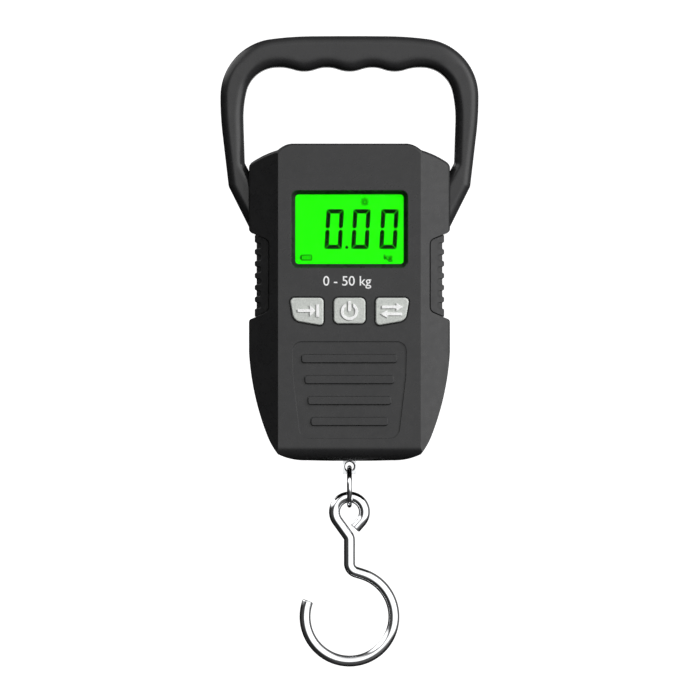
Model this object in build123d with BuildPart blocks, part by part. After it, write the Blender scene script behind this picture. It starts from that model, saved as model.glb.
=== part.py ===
from build123d import *
import math
import os

# Hanging digital fish scale with a loop handle and a wire hook, in millimetres.
# Frame: +Z up as the scale hangs, the display faces -Y, +X is to the reader's right.
# The origin is under the middle finger bump of the handle, on the centre plane of handle, tab and hook.

# ---- driving dimensions -------------------------------------------------------------------------
WALL = 2.0
FRONT_Y = -15.0
REAR_Y = 12.5
BODY_HALF_WIDTH = 36.1
PANEL_HALF_WIDTH = 25.6
SIDE_WALL_Y = 8.6
BODY_TOP = -26.3
BODY_BOTTOM = -140.1

# side notches for the grips: the rounded mouths as (distance in from the side, z), then the floor
UPPER_MOUTH = [(0.0, -56.79), (0.256, -57.628), (0.931, -58.18)]
LOWER_MOUTH = [(0.797, -89.129), (0.217, -89.607), (0.0, -90.327)]
NOTCH_FLOOR_X = 28.8
NOTCH_FLOOR_Z = (-60.8, -86.4)
NOTCH_OUTER_X = 40.0
PARTING_GAP = 0.3

HANDLE_HALF_DEPTH = 7.0
HANDLE_TOP = 12.62
SCALLOP_PITCH = 16.3
SCALLOP_DEPTH = 1.44

DISPLAY_Z = -57.0
DISPLAY_WIDTH = 38.8
DISPLAY_HEIGHT = 24.9
BEVEL = 1.6

BUTTON_TOP = -81.6
BUTTON_GAP = 0.45
BUTTON_PROUD = 0.7
SYMBOL_PROUD = 0.3
SYMBOL_LINE = 1.0
CAP_BACK_Y = FRONT_Y + WALL + 0.1
FLANGE = 0.8

BOARD_FRONT_Y = -6.2
BOARD_THICKNESS = 1.6
BOARD_REAR_Y = BOARD_FRONT_Y + BOARD_THICKNESS

CELL_RADIUS = 5.25
CELL_LENGTH = 44.5
CELL_PITCH = 11.0
CELL_Y = 5.4
BATTERY_Z = -51.2
BAY_HALF_LENGTH = 24.75
BAY_HALF_HEIGHT = 11.3
BAY_FLOOR_Y = 0.0
BAY_WALL = 1.6
DOOR_THICKNESS = 1.55
DOOR_HALF_LENGTH = 25.9
DOOR_HALF_HEIGHT = 12.6
DOOR_CLEARANCE = 0.15

TAB_WIDTH = 4.65
TAB_THICKNESS = 3.0
TAB_BOTTOM = -144.9
TAB_HOLE_Z = -142.2
TAB_HOLE_RADIUS = 1.55

RING_WIRE = 1.8
RING_RADIUS = 6.8
RING_Z = -142.65 - RING_RADIUS
HOOK_WIRE = 4.0
EYE_RADIUS = 5.4
HOOK_RADIUS = 16.0
CONTACT_GAP = 0.12
EYE_Z = RING_Z - RING_RADIUS + RING_WIRE / 2 + CONTACT_GAP + HOOK_WIRE / 2 - EYE_RADIUS
HOOK_Z = EYE_Z - 37.7

UPPER_SCREWS = [(-30.8, -46.0), (30.8, -46.0)]
LOWER_SCREWS = [(-28.5, -101.0), (28.5, -101.0), (-19.0, -131.0), (19.0, -131.0)]
BOARD_SCREWS = [(x, z) for x in (-25.6, 25.6) for z in (-38.0, -94.5)]
CELL_SCREWS = [(-7.5, -103.0), (7.5, -103.0)]
SCREW_SEAT_Y = 8.5
SCREW_PILOT = 1.25
SCREW_CLEAR = 1.6

os.makedirs("parts", exist_ok=True)


# ---- helpers ------------------------------------------------------------------------------------
def front_plane(y):
    """Sketch plane facing the reader at a given Y, with local x = X and local y = Z."""
    return Plane.XZ.offset(-y)


def columns(points, radius, y_start, y_end):
    """Round columns along Y at the given (x, z) points."""
    with BuildPart() as made:
        with BuildSketch(front_plane(y_start)):
            with Locations(*points):
                Circle(radius)
        extrude(amount=y_start - y_end)
    return made.part


def block(x_range, y_range, z_range):
    """Axis-aligned box between three pairs of limits."""
    size = [abs(b - a) for a, b in (x_range, y_range, z_range)]
    middle = tuple((a + b) / 2 for a, b in (x_range, y_range, z_range))
    with BuildPart() as made:
        with Locations(middle):
            Box(*size)
    return made.part


def slab(sketch, y_start, y_end):
    """A sketch made on the XZ plane, turned into a plate between two Y values."""
    with BuildPart() as made:
        with BuildSketch(front_plane(y_start)):
            add(sketch)
        extrude(amount=y_start - y_end)
    return made.part


def save(part, name):
    part.label = name
    export_step(part, f"parts/{name}.step")
    print(f"{name:28s} solids {len(part.solids()):2d}  volume {part.volume:9.1f}")


# ---- outer form of the two covers ---------------------------------------------------------------
def silhouette(inset):
    """Front outline of the covers, moved inwards by inset."""
    with BuildSketch(Plane.XY) as made:
        with BuildLine():
            Line((0, BODY_TOP), (20.6, BODY_TOP))
            ThreePointArc((20.6, BODY_TOP), (23.3, -27.0), (PANEL_HALF_WIDTH, -28.6))
            ThreePointArc((PANEL_HALF_WIDTH, -28.6), (31.0, -30.6), (34.9, -32.8))
            TangentArc((34.9, -32.8), (BODY_HALF_WIDTH, -35.6), tangent=(0.82, -0.57))
            Line((BODY_HALF_WIDTH, -35.6), (BODY_HALF_WIDTH, -90.4))
            flank = ThreePointArc((BODY_HALF_WIDTH, -90.4), (34.3, -114.8), (29.4, -131.2))
            heel = TangentArc(flank @ 1, (PANEL_HALF_WIDTH, -137.7), tangent=flank % 1)
            ThreePointArc(heel @ 1, (21.6, -139.2), (15.3, -139.9))
            ThreePointArc((15.3, -139.9), (8.0, -140.07), (0, BODY_BOTTOM))
            mirror(about=Plane.YZ)
        make_face()
        if inset:
            offset(amount=-inset, mode=Mode.REPLACE)
    return made.sketch


def cross_section(inset, side=BODY_HALF_WIDTH, facet_drop=0.0):
    """Horizontal section of the covers. facet_drop lowers only the side facets."""
    crease = PANEL_HALF_WIDTH
    side_limit = BODY_HALF_WIDTH - 0.1
    with BuildSketch(Plane.XY) as made:
        with BuildLine():
            Polyline(
                (0, FRONT_Y + facet_drop),
                (crease, FRONT_Y + facet_drop),
                (BODY_HALF_WIDTH, -SIDE_WALL_Y + facet_drop),
                (BODY_HALF_WIDTH, REAR_Y - facet_drop),
                (0, REAR_Y - facet_drop),
            )
            mirror(about=Plane.YZ)
        make_face()
        fillet(made.vertices().filter_by(lambda v: abs(v.X) > side_limit and v.Y > 0), radius=4.4)
        fillet(made.vertices().filter_by(lambda v: abs(v.X) > side_limit and v.Y < 0), radius=1.2)
        if side != BODY_HALF_WIDTH:
            Rectangle(2 * side, 80, mode=Mode.INTERSECT)
        if inset:
            offset(amount=-inset, mode=Mode.REPLACE)
    return made.sketch


def side_profile(inset):
    """Side view of the covers: a large round at the bottom front, smaller ones elsewhere."""
    with BuildSketch(Plane.XY) as made:
        with Locations(((FRONT_Y + REAR_Y) / 2, (BODY_TOP + BODY_BOTTOM) / 2)):
            Rectangle(REAR_Y - FRONT_Y, BODY_TOP - BODY_BOTTOM)
        corners = made.vertices()
        fillet(corners.sort_by(Axis.Y)[:2].sort_by(Axis.X)[0], radius=5.2)
        fillet(made.vertices().filter_by(lambda v: v.Y < BODY_BOTTOM + 0.1 and v.X > 5), radius=4.4)
        fillet(made.vertices().filter_by(lambda v: v.Y > BODY_TOP - 0.1 and v.X > 5), radius=4.4)
        if inset:
            offset(amount=-inset, mode=Mode.REPLACE)
    return made.sketch


def housing(inset, side=BODY_HALF_WIDTH, facet_drop=0.0):
    """Solid form of both covers together, moved inwards by inset."""
    with BuildPart() as made:
        with BuildSketch(Plane.XZ):
            add(silhouette(inset))
        extrude(amount=40, both=True)
        with BuildSketch(Plane.XY):
            add(cross_section(inset, side, facet_drop))
        extrude(amount=200, both=True, mode=Mode.INTERSECT)
        with BuildSketch(Plane.YZ):
            add(side_profile(inset))
        extrude(amount=60, both=True, mode=Mode.INTERSECT)
    return made.part


def grip_notch(clearance=0.0):
    """Both side notches that hold the grips, seen from the front, with rounded mouths."""
    upper_mouth = [(BODY_HALF_WIDTH - inward, z) for inward, z in UPPER_MOUTH]
    lower_mouth = [(BODY_HALF_WIDTH - inward, z) for inward, z in LOWER_MOUTH]
    top, bottom = upper_mouth[0][1], lower_mouth[-1][1]
    floor = [(NOTCH_FLOOR_X, z) for z in NOTCH_FLOOR_Z]
    with BuildSketch(Plane.XY) as made:
        with BuildLine():
            Line((NOTCH_OUTER_X, top), upper_mouth[0])
            ThreePointArc(*upper_mouth)
            Polyline(upper_mouth[-1], *floor, lower_mouth[0])
            ThreePointArc(*lower_mouth)
            Polyline(lower_mouth[-1], (NOTCH_OUTER_X, bottom), (NOTCH_OUTER_X, top))
        make_face()
        inner = made.vertices().filter_by(lambda v: v.X < NOTCH_FLOOR_X + 1)
        fillet(inner, radius=2.4)
        if clearance:
            offset(amount=-clearance, mode=Mode.REPLACE)
        mirror(about=Plane.YZ)
    return made.sketch


def is_top_rim(edge):
    """True for the edges around the top of the front, without the creases that run down."""
    middle = edge.center()
    return middle.Y < -SIDE_WALL_Y and middle.Z > -36 and edge.length < 50 and edge.geom_type != GeomType.LINE


def is_top_line(edge):
    middle = edge.center()
    return abs(middle.Y - FRONT_Y) < 0.01 and abs(middle.Z - BODY_TOP) < 0.01


with BuildPart() as outer_shape:
    add(housing(0))
    top_rim = outer_shape.edges().filter_by(lambda e: is_top_rim(e) or is_top_line(e))
    fillet(top_rim, radius=1.0)
outer_form = outer_shape.part
cavity_form = housing(WALL)
half_wall_form = housing(WALL / 2)
grip_floor_form = housing(0, side=BODY_HALF_WIDTH - 4.4, facet_drop=2.6)
grip_outer_form = housing(0, side=BODY_HALF_WIDTH - 2.1, facet_drop=0.9)
grip_wall_form = housing(0, side=BODY_HALF_WIDTH - 4.4 - WALL, facet_drop=2.6 + WALL)
notch_prism = slab(grip_notch(), -30, 30)
pocket = notch_prism - grip_floor_form
cavity = cavity_form - (slab(grip_notch(-WALL), -30, 30) - grip_wall_form)

handle_notch = block((-40, 40), (-5.5, 5.5), (-56.4, -36.3)) - block((-33, 33), (-9, 9), (-70, -30))
tab_slot = block((-3.2, 3.2), (-2.3, 2.3), (-150, -136))


# ---- front cover --------------------------------------------------------------------------------
def tare_outline():
    """Left button; the right one is its mirror image."""
    with BuildSketch(Plane.XY) as made:
        with BuildLine():
            Polyline((-21.5, BUTTON_TOP), (-9.3, BUTTON_TOP), (-9.3, -91.7), (-20.1, -89.8), close=True)
        make_face()
        top = made.vertices().filter_by(lambda v: v.Y > -85)
        fillet(top, radius=1.5)
        fillet(made.vertices().filter_by(lambda v: v.Y < -91), radius=1.5)
        fillet(made.vertices().filter_by(lambda v: v.X < -18 and v.Y < -88), radius=3.2)
    return made.sketch


def power_outline():
    with BuildSketch(Plane.XY) as made:
        with Locations((0, BUTTON_TOP - 4.65)):
            RectangleRounded(11.4, 9.3, 1.8)
    return made.sketch


def unit_outline():
    return mirror(tare_outline(), about=Plane.YZ)


def grown(sketch, amount):
    with BuildSketch(Plane.XY) as made:
        add(sketch)
        offset(amount=amount, mode=Mode.REPLACE)
    return made.sketch


BUTTONS = {
    "tare": (tare_outline(), (-15.2, -86.3)),
    "power": (power_outline(), (0.0, -86.3)),
    "unit": (unit_outline(), (15.2, -86.3)),
}

BAR_HALF_LENGTHS = [17.2, 16.05, 14.95, 13.85]
BAR_TOP_Z = -103.4
BAR_PITCH = 7.5
BAR_HEIGHT = 3.1
FRAME_DEPTH = 0.4
BAR_PROUD = 0.3

with BuildSketch(Plane.XY) as frame_outline:
    with BuildLine():
        Polyline((0, -97.3), (20.5, -97.3), (20.2, -110.0), (17.6, -132.0), (0, -132.0))
        mirror(about=Plane.YZ)
    make_face()
    fillet(frame_outline.vertices().filter_by(lambda v: v.Y > -98), radius=3.3)
    fillet(frame_outline.vertices().filter_by(lambda v: v.Y < -131), radius=3.6)
    fillet(frame_outline.vertices().filter_by(lambda v: -111 < v.Y < -109), radius=20)

board_bosses = columns(BOARD_SCREWS, 2.0, BOARD_FRONT_Y, FRONT_Y) & half_wall_form
upper_front_bosses = columns(UPPER_SCREWS, 2.4, -4.2, FRONT_Y) & half_wall_form
lower_front_bosses = columns(LOWER_SCREWS, 2.8, 0, FRONT_Y) & half_wall_form

with BuildPart() as front_cover:
    add(outer_form)
    split(bisect_by=Plane.XZ, keep=Keep.TOP)
    add(cavity, mode=Mode.SUBTRACT)
    add(pocket, mode=Mode.SUBTRACT)
    add(handle_notch, mode=Mode.SUBTRACT)
    add(tab_slot, mode=Mode.SUBTRACT)
    # display opening with bevelled walls
    with BuildSketch(front_plane(FRONT_Y)):
        with Locations((0, DISPLAY_Z)):
            RectangleRounded(DISPLAY_WIDTH + 2 * BEVEL, DISPLAY_HEIGHT + 2 * BEVEL - 0.2, 2.4)
    with BuildSketch(front_plane(FRONT_Y + WALL)):
        with Locations((0, DISPLAY_Z)):
            RectangleRounded(DISPLAY_WIDTH, DISPLAY_HEIGHT, 1.2)
    loft(mode=Mode.SUBTRACT)
    # button openings
    with BuildSketch(front_plane(FRONT_Y - 1)):
        for outline, _ in BUTTONS.values():
            add(grown(outline, BUTTON_GAP))
    extrude(amount=-(WALL + 2), mode=Mode.SUBTRACT)
    # shallow framed panel with raised bars
    with BuildSketch(front_plane(FRONT_Y)):
        add(frame_outline.sketch)
    extrude(amount=-FRAME_DEPTH, mode=Mode.SUBTRACT)
    with BuildSketch(front_plane(FRONT_Y + FRAME_DEPTH)):
        for row, half_length in enumerate(BAR_HALF_LENGTHS):
            with Locations((0, BAR_TOP_Z - row * BAR_PITCH)):
                RectangleRounded(2 * half_length, BAR_HEIGHT, 1.0)
    extrude(amount=FRAME_DEPTH + BAR_PROUD)
    bar_rims = front_cover.edges().filter_by(lambda e: abs(e.center().Y - (FRONT_Y - BAR_PROUD)) < 0.01)
    fillet(bar_rims, radius=0.3)
    add(board_bosses)
    add(upper_front_bosses)
    add(lower_front_bosses)
    add(columns(BOARD_SCREWS, 0.8, BOARD_FRONT_Y, BOARD_FRONT_Y - 4.0), mode=Mode.SUBTRACT)
    add(columns(UPPER_SCREWS, SCREW_PILOT, 0, -8.5), mode=Mode.SUBTRACT)
    add(columns(LOWER_SCREWS, SCREW_PILOT, 0, -8.5), mode=Mode.SUBTRACT)
save(front_cover.part, "front_cover")

# ---- rear cover with battery bay ----------------------------------------------------------------
bay_top = BATTERY_Z + BAY_HALF_HEIGHT
bay_bottom = BATTERY_Z - BAY_HALF_HEIGHT
door_top = BATTERY_Z + DOOR_HALF_HEIGHT
door_bottom = BATTERY_Z - DOOR_HALF_HEIGHT
DOOR_INNER_Y = REAR_Y - DOOR_THICKNESS
TAB_X = 15.0
TAB_HALF = 3.0

bay_box = block(
    (-BAY_HALF_LENGTH - BAY_WALL, BAY_HALF_LENGTH + BAY_WALL),
    (BAY_FLOOR_Y - 1.2, REAR_Y - WALL / 2),
    (bay_bottom - BAY_WALL, bay_top + BAY_WALL),
)
bay_space = block(
    (-BAY_HALF_LENGTH, BAY_HALF_LENGTH), (BAY_FLOOR_Y, REAR_Y + 1), (bay_bottom, bay_top)
)
door_rebate = block(
    (-DOOR_HALF_LENGTH - DOOR_CLEARANCE, DOOR_HALF_LENGTH + DOOR_CLEARANCE),
    (DOOR_INNER_Y - 0.05, REAR_Y + 1),
    (door_bottom - DOOR_CLEARANCE, door_top + DOOR_CLEARANCE),
)
tab_pockets = [
    block((x - TAB_HALF - 0.25, x + TAB_HALF + 0.25), (9.9, 11.8), (door_bottom - 1.75, bay_bottom - 0.1))
    for x in (-TAB_X, TAB_X)
]
thumb_notch = columns([(0, door_top + 1.4)], 4.2, REAR_Y + 1, REAR_Y - 0.9)
rear_posts = columns(LOWER_SCREWS, 3.4, REAR_Y, 0) & half_wall_form
upper_rear_posts = columns(UPPER_SCREWS, 3.1, REAR_Y, 4.2) & half_wall_form
cell_posts = columns(CELL_SCREWS, 3.2, REAR_Y, 4.0) & half_wall_form
parting_groove = block((-60, 60), (-0.01, PARTING_GAP), (-160, 0)) - housing(PARTING_GAP)

with BuildPart() as rear_cover:
    add(outer_form)
    split(bisect_by=Plane.XZ, keep=Keep.BOTTOM)
    add(cavity, mode=Mode.SUBTRACT)
    add(pocket, mode=Mode.SUBTRACT)
    add(handle_notch, mode=Mode.SUBTRACT)
    add(tab_slot, mode=Mode.SUBTRACT)
    add(parting_groove, mode=Mode.SUBTRACT)
    add(bay_box)
    add(bay_space, mode=Mode.SUBTRACT)
    add(door_rebate, mode=Mode.SUBTRACT)
    add(tab_pockets, mode=Mode.SUBTRACT)
    add(thumb_notch, mode=Mode.SUBTRACT)
    add([rear_posts, upper_rear_posts, cell_posts])
    add(columns(UPPER_SCREWS + LOWER_SCREWS, SCREW_CLEAR, REAR_Y + 1, -1), mode=Mode.SUBTRACT)
    add(columns(UPPER_SCREWS + LOWER_SCREWS, 2.7, REAR_Y + 1, SCREW_SEAT_Y), mode=Mode.SUBTRACT)
    add(columns(CELL_SCREWS, SCREW_PILOT, 4.0, 9.5), mode=Mode.SUBTRACT)
save(rear_cover.part, "rear_cover")

# ---- battery door: tilts out about its two bottom tabs -------------------------------------------
GRIP_RIB_COUNT = 4
with BuildPart() as battery_door:
    add(
        block(
            (-DOOR_HALF_LENGTH, DOOR_HALF_LENGTH), (DOOR_INNER_Y, REAR_Y), (door_bottom, door_top)
        )
    )
    fillet(battery_door.edges().filter_by(Axis.Y), radius=0.8)
    fillet(battery_door.faces().sort_by(Axis.Y)[-1].edges(), radius=0.25)
    for x in (-TAB_X, TAB_X):
        with Locations((x, DOOR_INNER_Y + 0.3, door_bottom - 0.5)):
            Box(2 * TAB_HALF, 0.6, 1.8)
    with BuildSketch(front_plane(REAR_Y)):
        for row in range(GRIP_RIB_COUNT):
            with Locations((0, door_top - 3.0 - row * 1.5)):
                SlotOverall(11.0, 0.7)
    extrude(amount=0.3, mode=Mode.SUBTRACT)
save(battery_door.part, "battery_door")


# ---- handle -------------------------------------------------------------------------------------
def handle_outline():
    """Open arch with finger hollows under its bar, cut off at the sides of the covers."""
    side = BODY_HALF_WIDTH
    corner_start = (25.96, SCALLOP_DEPTH)
    with BuildSketch(Plane.XY) as made:
        with BuildLine():
            crown = TangentArc((0, HANDLE_TOP), (13.52, 12.56), tangent=(1, 0))
            brow = TangentArc(crown @ 1, (28.3, 11.52), tangent=crown % 1)
            corner = TangentArc(brow @ 1, (46.42, -9.0), tangent=brow % 1)
            arm = TangentArc(corner @ 1, (45.5, -24.0), tangent=corner % 1)
            inner_corner = TangentArc(corner_start, (37.1, -7.42), tangent=(1, 0))
            inner_arm = TangentArc(inner_corner @ 1, (38.14, -17.96), tangent=inner_corner % 1)
            Polyline(arm @ 1, (43.45, -41.5), (side, -56.2), (side, -36.0), (37.67, -33.0), inner_arm @ 1)
            # finger hollows: arcs that alternate each half pitch
            quarter = SCALLOP_PITCH / 4
            half_depth = SCALLOP_DEPTH / 2
            ThreePointArc((0, 0), (quarter / 2, half_depth * 0.25), (quarter, half_depth))
            hollow = ThreePointArc(
                (quarter, half_depth), (2 * quarter, SCALLOP_DEPTH), (3 * quarter, half_depth)
            )
            ThreePointArc(hollow @ 1, (4 * quarter, 0), (5 * quarter, half_depth))
            ThreePointArc((5 * quarter, half_depth), (22.0, 1.12), (24.4, SCALLOP_DEPTH))
            Line((24.4, SCALLOP_DEPTH), corner_start)
            mirror(about=Plane.YZ)
        make_face()
        knees = made.vertices().filter_by(lambda v: abs(v.Y + 41.5) < 0.1)
        fillet(knees, radius=3.0)
        crotches = made.vertices().filter_by(lambda v: abs(v.Y + 33.0) < 0.1)
        fillet(crotches, radius=1.6)
    return made.sketch


def is_handle_rim(edge):
    """True for the front and rear rim edges that are rounded."""
    middle = edge.center()
    on_face = abs(abs(middle.Y) - HANDLE_HALF_DEPTH) < 0.01
    at_cover = abs(abs(middle.X) - BODY_HALF_WIDTH) < 0.01
    return on_face and not at_cover


def is_inner_rim(edge):
    middle = edge.center()
    return abs(middle.X) < 38.6 and -40 < middle.Z < 6


with BuildPart() as handle:
    with BuildSketch(Plane.XZ):
        add(handle_outline())
    extrude(amount=HANDLE_HALF_DEPTH, both=True)
    rims = handle.edges().filter_by(is_handle_rim)
    fillet(rims.filter_by(is_inner_rim), radius=3.3)
    rims = handle.edges().filter_by(is_handle_rim)
    fillet(rims.filter_by(lambda e: not is_inner_rim(e)), radius=3.0)
    for side in (-1, 1):
        # neck through the side wall, then a lug that the upper cover screws pass through
        with Locations((side * 35.1, 0, -46.3)):
            Box(2.1, 10.8, 19.8)
        with Locations((side * 30.9, 0, -48.8)):
            Box(6.8, 8.0, 14.4)
    add(columns(UPPER_SCREWS, SCREW_CLEAR, -10, 10), mode=Mode.SUBTRACT)
save(handle.part, "handle")

# ---- side grips ---------------------------------------------------------------------------------
GRIP_GAP = 0.3
GROOVE_COUNT = 6
GROOVE_PITCH = 4.28
GROOVE_WIDTH = 2.2
GROOVE_TOP_Z = -62.9
GROOVE_INNER_X = 31.7
GROOVE_MOUTH = (33.5, 34.05)
groove_floor = housing(0, side=BODY_HALF_WIDTH - 2.1 - 0.65, facet_drop=0.9 + 0.55)


def groove_outlines():
    """The grooves of both grips, seen from the front: rounded inside, flared at the mouth."""
    half = GROOVE_WIDTH / 2
    flare = half + 0.4
    narrow_x, wide_x = GROOVE_MOUTH
    with BuildSketch(Plane.XY) as made:
        for row in range(GROOVE_COUNT):
            z = GROOVE_TOP_Z - row * GROOVE_PITCH
            with Locations(((GROOVE_INNER_X + 40) / 2, z)):
                RectangleRounded(40 - GROOVE_INNER_X, GROOVE_WIDTH, 0.8)
            with BuildLine():
                Polyline(
                    (narrow_x, z + half),
                    (wide_x, z + flare),
                    (38, z + flare),
                    (38, z - flare),
                    (wide_x, z - flare),
                    (narrow_x, z - half),
                    close=True,
                )
            make_face()
        mirror(about=Plane.YZ)
    return made.sketch


grooves = slab(groove_outlines(), -30, 30) - groove_floor
grips = ((slab(grip_notch(GRIP_GAP), -30, 30) & grip_outer_form) - grip_floor_form) - grooves
for name, keep in (("left_side_grip", Keep.BOTTOM), ("right_side_grip", Keep.TOP)):
    with BuildPart() as grip:
        add(grips)
        split(bisect_by=Plane.YZ, keep=keep)
    save(grip.part, name)

# ---- display stack ------------------------------------------------------------------------------
LCD_WIDTH = 45.0
LCD_HEIGHT = 31.0
window_y = (FRONT_Y + WALL, FRONT_Y + WALL + 1.0)
lcd_y = (window_y[1] + 0.1, window_y[1] + 2.3)
backlight_y = (lcd_y[1], lcd_y[1] + 2.6)

with BuildPart() as display_window:
    with BuildSketch(front_plane(window_y[0])):
        with Locations((0, DISPLAY_Z)):
            RectangleRounded(LCD_WIDTH, LCD_HEIGHT, 1.5)
    extrude(amount=-1.0)
save(display_window.part, "display_window")

lcd_middle = sum(lcd_y) / 2
with BuildPart() as lcd_glass:
    for y_pair, drop in (((lcd_y[0], lcd_middle), 0.0), ((lcd_middle, lcd_y[1]), 2.5)):
        with BuildSketch(front_plane(y_pair[0])):
            with Locations((0, DISPLAY_Z + drop / 2)):
                Rectangle(LCD_WIDTH - 0.6, LCD_HEIGHT - 0.6 - drop)
        extrude(amount=y_pair[0] - y_pair[1])
save(lcd_glass.part, "lcd_glass")

with BuildPart() as backlight_block:
    with BuildSketch(front_plane(backlight_y[0])):
        with Locations((0, DISPLAY_Z + 1.6)):
            Rectangle(LCD_WIDTH - 3.0, LCD_HEIGHT - 5.2)
    extrude(amount=backlight_y[0] - backlight_y[1])
save(backlight_block.part, "backlight_block")

save(
    block(
        (LCD_WIDTH / 2 - 1.5, LCD_WIDTH / 2 - 0.3),
        (backlight_y[0] + 0.4, backlight_y[1] - 0.4),
        (DISPLAY_Z - 2.0, DISPLAY_Z + 4.0),
    ),
    "backlight_led",
)

strip_z = DISPLAY_Z - LCD_HEIGHT / 2 + 1.7
with BuildPart() as contact_strip:
    add(block((-20, 20), (lcd_middle + 1.1, BOARD_FRONT_Y), (strip_z - 1.0, strip_z + 1.0)))
save(contact_strip.part, "contact_strip")

with BuildPart() as display_frame:
    with BuildSketch(front_plane(window_y[1] + 0.1)):
        with Locations((0, DISPLAY_Z)):
            RectangleRounded(LCD_WIDTH + 3.4, LCD_HEIGHT + 3.0, 1.0)
            Rectangle(LCD_WIDTH, LCD_HEIGHT, mode=Mode.SUBTRACT)
    extrude(amount=window_y[1] + 0.1 - BOARD_FRONT_Y)
save(display_frame.part, "display_frame")

# ---- main board ---------------------------------------------------------------------------------
SWITCH_POINTS = [point for _, point in BUTTONS.values()]
with BuildPart() as main_board:
    with BuildSketch(front_plane(BOARD_FRONT_Y)):
        with Locations((0, -66.3)):
            RectangleRounded(56.0, 61.0, 1.5)
        with Locations(*BOARD_SCREWS):
            Circle(1.1, mode=Mode.SUBTRACT)
    extrude(amount=-BOARD_THICKNESS)
save(main_board.part, "main_board")

with BuildPart() as chip_blob:
    with Locations((-11, BOARD_REAR_Y, -86)):
        Cylinder(6.0, 1.2, rotation=(90, 0, 0), align=(Align.CENTER, Align.CENTER, Align.MAX))
    fillet(chip_blob.edges().sort_by(Axis.Y)[-1], radius=1.0)
save(chip_blob.part, "chip_blob")

# x and z of each part's middle, then its width and height
BOARD_PARTS = [
    (4.0, -83.0, 5.0, 4.0),
    (12.0, -83.0, 3.2, 1.6),
    (12.0, -87.0, 3.2, 1.6),
    (4.0, -89.5, 3.2, 1.6),
    (18.0, -85.0, 2.0, 6.0),
]
with BuildPart() as board_parts:
    for x, z, wide, tall in BOARD_PARTS:
        with Locations((x, BOARD_REAR_Y + 0.5, z)):
            Box(wide, 1.0, tall)
save(board_parts.part, "board_parts")

SWITCH_FACE_Y = BOARD_FRONT_Y - 3.5
PLUNGER_RADIUS = 1.7
with BuildPart() as key_switches:
    for x, z in SWITCH_POINTS:
        with Locations((x, (BOARD_FRONT_Y + SWITCH_FACE_Y) / 2, z)):
            Box(6.0, 3.5, 6.0)
    plunger_holes = columns(SWITCH_POINTS, PLUNGER_RADIUS + 0.1, SWITCH_FACE_Y - 1, SWITCH_FACE_Y + 2.0)
    add(plunger_holes, mode=Mode.SUBTRACT)
save(key_switches.part, "key_switches")

# ---- buttons and the switch plungers that they push ----------------------------------------------
FLANGE_Y = (CAP_BACK_Y, CAP_BACK_Y + FLANGE)
PLUNGER_TIP_Y = SWITCH_FACE_Y - 1.2


def tare_symbol():
    """Arrow against a bar: sets the reading to nothing."""
    with BuildSketch(Plane.XY) as made:
        with Locations((-15.9, -86.2)):
            Rectangle(5.4, SYMBOL_LINE)
        with BuildLine():
            Polyline((-14.2, -84.2), (-14.2, -88.2), (-12.2, -86.2), close=True)
        make_face()
        with Locations((-11.4, -86.2)):
            Rectangle(SYMBOL_LINE, 4.4)
    return made.sketch


def power_symbol():
    with BuildSketch(Plane.XY) as made:
        with Locations((0, -86.5)):
            Circle(3.1)
            Circle(3.1 - SYMBOL_LINE, mode=Mode.SUBTRACT)
        with Locations((0, -83.7)):
            Rectangle(2.6, 2.8, mode=Mode.SUBTRACT)
        with Locations((0, -84.6)):
            SlotOverall(3.8, SYMBOL_LINE, rotation=90)
    return made.sketch


def unit_symbol():
    """Two opposite arrows: changes from one unit to the other."""
    with BuildSketch(Plane.XY) as made:
        for z, way in ((-84.9, 1), (-87.4, -1)):
            with Locations((15.2 - way * 1.0, z)):
                Rectangle(5.2, SYMBOL_LINE)
            with BuildLine():
                tip = 15.2 + way * 4.0
                base = 15.2 + way * 1.6
                Polyline((base, z + 1.4), (base, z - 1.4), (tip, z), close=True)
            make_face()
    return made.sketch


SYMBOLS = {"tare": tare_symbol(), "power": power_symbol(), "unit": unit_symbol()}
for name, (outline, centre) in BUTTONS.items():
    with BuildPart() as button:
        with BuildSketch(front_plane(CAP_BACK_Y)):
            add(outline)
        extrude(amount=CAP_BACK_Y - (FRONT_Y - BUTTON_PROUD))
        fillet(button.faces().sort_by(Axis.Y)[0].edges(), radius=0.5)
        with BuildSketch(front_plane(FLANGE_Y[1])):
            add(grown(outline, 1.0))
        extrude(amount=FLANGE)
        with BuildSketch(front_plane(FLANGE_Y[1])):
            with Locations(centre):
                Circle(1.6)
        extrude(amount=-(PLUNGER_TIP_Y - FLANGE_Y[1]))
        with BuildSketch(front_plane(FRONT_Y - BUTTON_PROUD)):
            add(SYMBOLS[name])
        extrude(amount=SYMBOL_PROUD)
    save(button.part, f"{name}_button")
    save(
        columns([centre], PLUNGER_RADIUS, PLUNGER_TIP_Y, SWITCH_FACE_Y + 1.0),
        f"{name}_switch_plunger",
    )

# ---- load cell ----------------------------------------------------------------------------------
LOAD_TOP = -99.0
LOAD_BOTTOM = -134.0
LOAD_HALF_WIDTH = 13.0
LOAD_HALF_DEPTH = 4.0
SLOT_Z = (-108.0, -125.0)
PIN_Z = -130.0

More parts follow.
